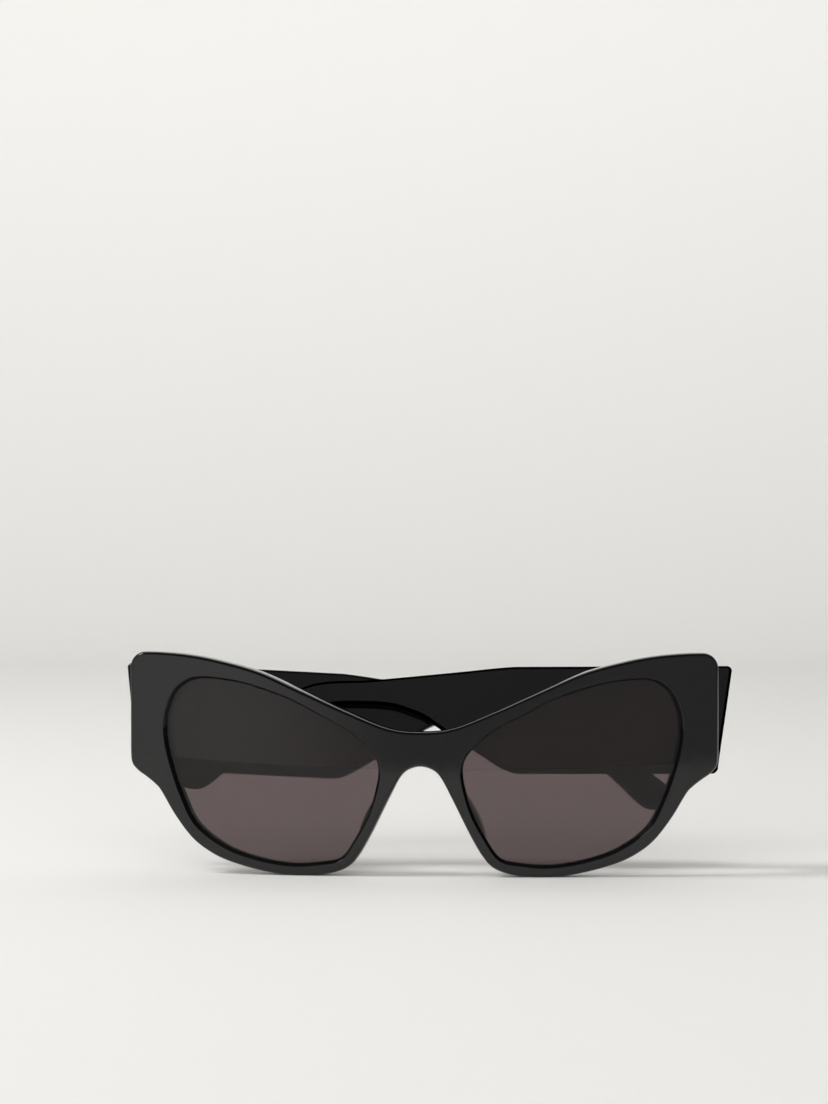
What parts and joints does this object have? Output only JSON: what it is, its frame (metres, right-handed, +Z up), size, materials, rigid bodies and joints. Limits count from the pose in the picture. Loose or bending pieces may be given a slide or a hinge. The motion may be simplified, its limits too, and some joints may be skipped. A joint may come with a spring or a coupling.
{
  "type": "cat eye sunglasses",
  "caption": "Cat eye sunglasses with a wrapped acetate front, tinted lenses and wide folding temples on barrel hinges.",
  "frame": {"origin": "on the standing plane, in the middle of the folded glasses' width and depth", "axes": "+Z up, -Y out of the front face, +X to the viewer's right as the front is looked at"},
  "size_m": [0.1549, 0.0359, 0.0552],
  "materials": {
    "acetate": "polished black cellulose acetate",
    "pad_acetate": "tumbled black cellulose acetate",
    "tinted_lens": "grey-brown tinted",
    "hinge_metal": "nickel silver, tumbled",
    "screw_steel": "turned stainless steel",
    "wire_steel": "rolled"
  },
  "bodies": {
    "front": {"front_frame": "acetate", "right_lens": "tinted_lens", "left_lens": "tinted_lens", "right_nose_pad": "pad_acetate", "left_nose_pad": "pad_acetate", "right_end_block": "acetate", "left_end_block": "acetate", "right_front_leaf": "hinge_metal", "left_front_leaf": "hinge_metal", "right_hinge_screw": "screw_steel", "left_hinge_screw": "screw_steel"},
    "right_temple": {"right_temple": "acetate", "right_temple_leaf": "hinge_metal", "right_core_wire": "wire_steel"},
    "left_temple": {"left_temple": "acetate", "left_temple_leaf": "hinge_metal", "left_core_wire": "wire_steel"}
  },
  "joints": [
    {"name": "left_temple_hinge", "type": "hinge", "parent": "front", "child": "left_temple", "pos_m": [-0.067, 0.00449, 0.0381], "axis": [0.0413, 0.1582, 0.9865], "range_deg": [0, 86.6]},
    {"name": "right_temple_hinge", "type": "hinge", "parent": "front", "child": "right_temple", "pos_m": [0.067, 0.00449, 0.0381], "axis": [0.0121, -0.1582, -0.9873], "range_deg": [-0.3, 0.4]}
  ]
}
